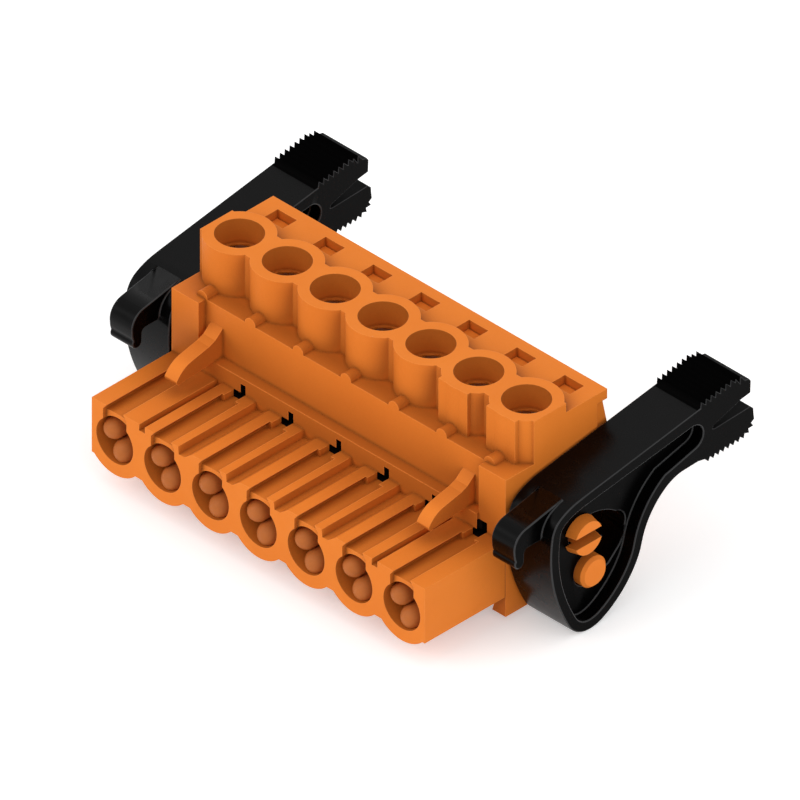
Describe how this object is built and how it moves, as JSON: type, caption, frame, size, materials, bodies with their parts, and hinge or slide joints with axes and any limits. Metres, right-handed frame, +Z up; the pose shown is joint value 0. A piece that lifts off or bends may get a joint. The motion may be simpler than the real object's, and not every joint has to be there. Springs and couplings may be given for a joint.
{
  "type": "pluggable terminal block",
  "caption": "Pluggable screw terminal block: orange housing with a row of driver wells, round sockets under a grooved deck, two hooks and a black release lever at each end.",
  "frame": {"origin": "centre of the middle driver well, at the top of the towers", "axes": "+X along the row of poles to the right end, -Y to the mating face, +Z up along the driver wells"},
  "size_m": [0.0446, 0.0296, 0.0169],
  "materials": {
    "housing_plastic": "moulded, satin",
    "cover_plastic": "moulded, satin",
    "lever_plastic": "moulded, satin",
    "contact_alloy": "bright copper alloy",
    "screw_steel": "zinc plated",
    "yoke_steel": "plated"
  },
  "bodies": {
    "plug": {"housing": "housing_plastic", "wire_cover": "cover_plastic", "contact_1": "contact_alloy", "contact_2": "contact_alloy", "contact_3": "contact_alloy", "contact_4": "contact_alloy", "contact_5": "contact_alloy", "contact_6": "contact_alloy", "contact_7": "contact_alloy"},
    "screw_1": {"screw_1": "screw_steel"},
    "clamp_yoke_1": {"clamp_yoke_1": "yoke_steel"},
    "screw_2": {"screw_2": "screw_steel"},
    "clamp_yoke_2": {"clamp_yoke_2": "yoke_steel"},
    "screw_3": {"screw_3": "screw_steel"},
    "clamp_yoke_3": {"clamp_yoke_3": "yoke_steel"},
    "screw_4": {"screw_4": "screw_steel"},
    "clamp_yoke_4": {"clamp_yoke_4": "yoke_steel"},
    "screw_5": {"screw_5": "screw_steel"},
    "clamp_yoke_5": {"clamp_yoke_5": "yoke_steel"},
    "screw_6": {"screw_6": "screw_steel"},
    "clamp_yoke_6": {"clamp_yoke_6": "yoke_steel"},
    "screw_7": {"screw_7": "screw_steel"},
    "clamp_yoke_7": {"clamp_yoke_7": "yoke_steel"},
    "lever_left": {"lever_left": "lever_plastic"},
    "lever_right": {"lever_right": "lever_plastic"}
  },
  "joints": [
    {"name": "screw_turn_1", "type": "hinge", "parent": "plug", "child": "screw_1", "pos_m": [-0.015, 0, -0.003], "axis": [0, 0, -1], "range_deg": [0, 2001]},
    {"name": "yoke_lift_1", "type": "slide", "parent": "plug", "child": "clamp_yoke_1", "axis": [0, 0, 1], "range_m": [0, 0.0025]},
    {"name": "screw_turn_2", "type": "hinge", "parent": "plug", "child": "screw_2", "pos_m": [-0.01, 0, -0.003], "axis": [0, 0, -1], "range_deg": [0, 2001]},
    {"name": "yoke_lift_2", "type": "slide", "parent": "plug", "child": "clamp_yoke_2", "axis": [0, 0, 1], "range_m": [0, 0.0025]},
    {"name": "screw_turn_3", "type": "hinge", "parent": "plug", "child": "screw_3", "pos_m": [-0.005, 0, -0.003], "axis": [0, 0, -1], "range_deg": [0, 2001]},
    {"name": "yoke_lift_3", "type": "slide", "parent": "plug", "child": "clamp_yoke_3", "axis": [0, 0, 1], "range_m": [0, 0.0025]},
    {"name": "screw_turn_4", "type": "hinge", "parent": "plug", "child": "screw_4", "pos_m": [0, 0, -0.003], "axis": [0, 0, -1], "range_deg": [0, 2001]},
    {"name": "yoke_lift_4", "type": "slide", "parent": "plug", "child": "clamp_yoke_4", "axis": [0, 0, 1], "range_m": [0, 0.0025]},
    {"name": "screw_turn_5", "type": "hinge", "parent": "plug", "child": "screw_5", "pos_m": [0.005, 0, -0.003], "axis": [0, 0, -1], "range_deg": [0, 2001]},
    {"name": "yoke_lift_5", "type": "slide", "parent": "plug", "child": "clamp_yoke_5", "axis": [0, 0, 1], "range_m": [0, 0.0025]},
    {"name": "screw_turn_6", "type": "hinge", "parent": "plug", "child": "screw_6", "pos_m": [0.01, 0, -0.003], "axis": [0, 0, -1], "range_deg": [0, 2001]},
    {"name": "yoke_lift_6", "type": "slide", "parent": "plug", "child": "clamp_yoke_6", "axis": [0, 0, 1], "range_m": [0, 0.0025]},
    {"name": "screw_turn_7", "type": "hinge", "parent": "plug", "child": "screw_7", "pos_m": [0.015, 0, -0.003], "axis": [0, 0, -1], "range_deg": [0, 2001]},
    {"name": "yoke_lift_7", "type": "slide", "parent": "plug", "child": "clamp_yoke_7", "axis": [0, 0, 1], "range_m": [0, 0.0025]},
    {"name": "lever_left_tilt", "type": "hinge", "parent": "plug", "child": "lever_left", "pos_m": [-0.01975, 0.00017, -0.01233], "axis": [1, 0, 0], "range_deg": [0, 55]},
    {"name": "lever_right_tilt", "type": "hinge", "parent": "plug", "child": "lever_right", "pos_m": [0.01975, 0.00017, -0.01233], "axis": [1, 0, 0], "range_deg": [0, 55]}
  ],
  "couplings": [
    {"joint": "screw_turn_1", "follows": "yoke_lift_1", "rad_per_m": 13963},
    {"joint": "screw_turn_2", "follows": "yoke_lift_2", "rad_per_m": 13963},
    {"joint": "screw_turn_3", "follows": "yoke_lift_3", "rad_per_m": 13963},
    {"joint": "screw_turn_4", "follows": "yoke_lift_4", "rad_per_m": 13963},
    {"joint": "screw_turn_5", "follows": "yoke_lift_5", "rad_per_m": 13963},
    {"joint": "screw_turn_6", "follows": "yoke_lift_6", "rad_per_m": 13963},
    {"joint": "screw_turn_7", "follows": "yoke_lift_7", "rad_per_m": 13963}
  ]
}
